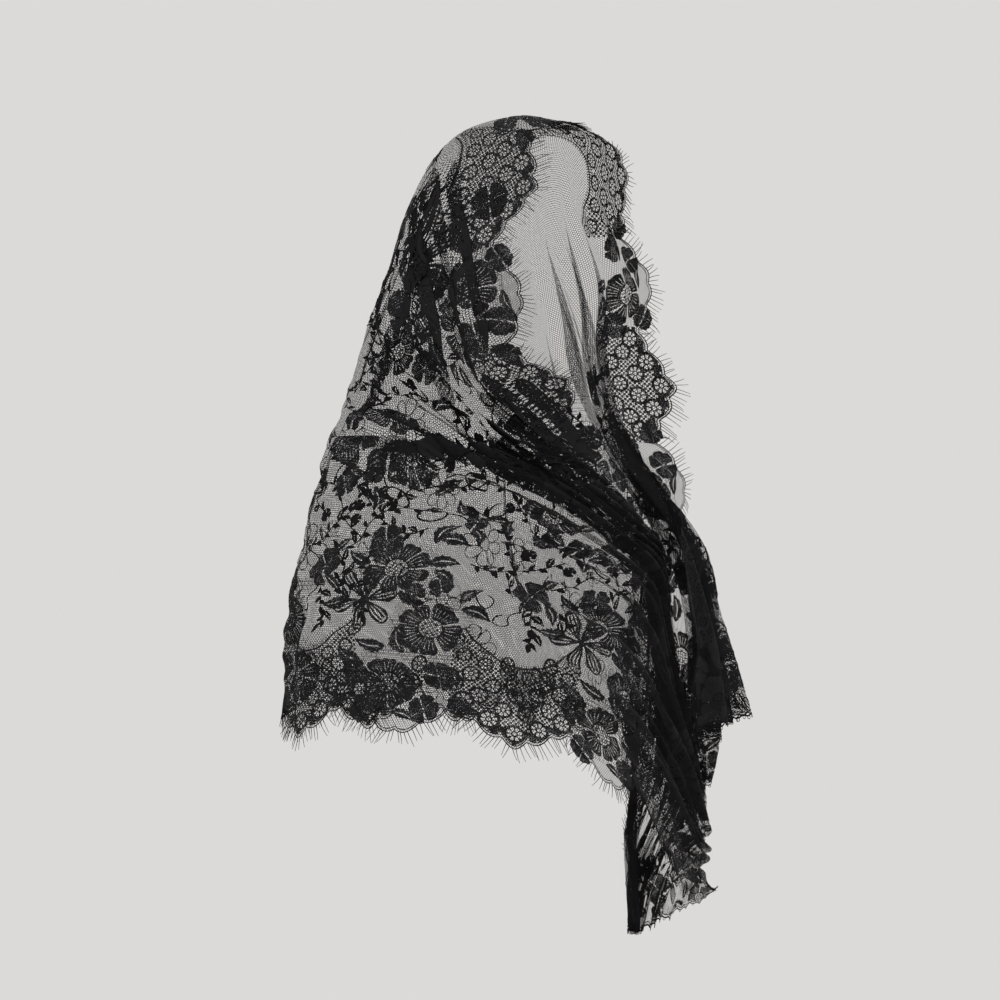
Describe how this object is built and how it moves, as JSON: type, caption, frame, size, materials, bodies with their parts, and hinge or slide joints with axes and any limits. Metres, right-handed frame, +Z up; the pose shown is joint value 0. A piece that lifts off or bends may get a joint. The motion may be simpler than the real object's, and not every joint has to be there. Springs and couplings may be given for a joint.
{
  "type": "lace veil",
  "caption": "Rectangular scalloped lace veil worn over the head, framing the face, wrapped across the chest and hanging at one shoulder.",
  "frame": {"origin": "inside of the crown, where the veil rests on the top of the head", "axes": "+Z up, -Y to the wearer's front, +X to the wearer's left"},
  "size_m": [0.5295, 0.2943, 0.8395],
  "materials": {
    "lace": "matte floral net lace",
    "edge_cord": "dull twisted cord"
  },
  "bodies": {
    "root": {"lace_panel": "lace", "face_edge_fringe": "lace", "hem_fringe": "lace", "fall_end_cord": "edge_cord", "wrap_end_cord": "edge_cord"}
  },
  "joints": []
}
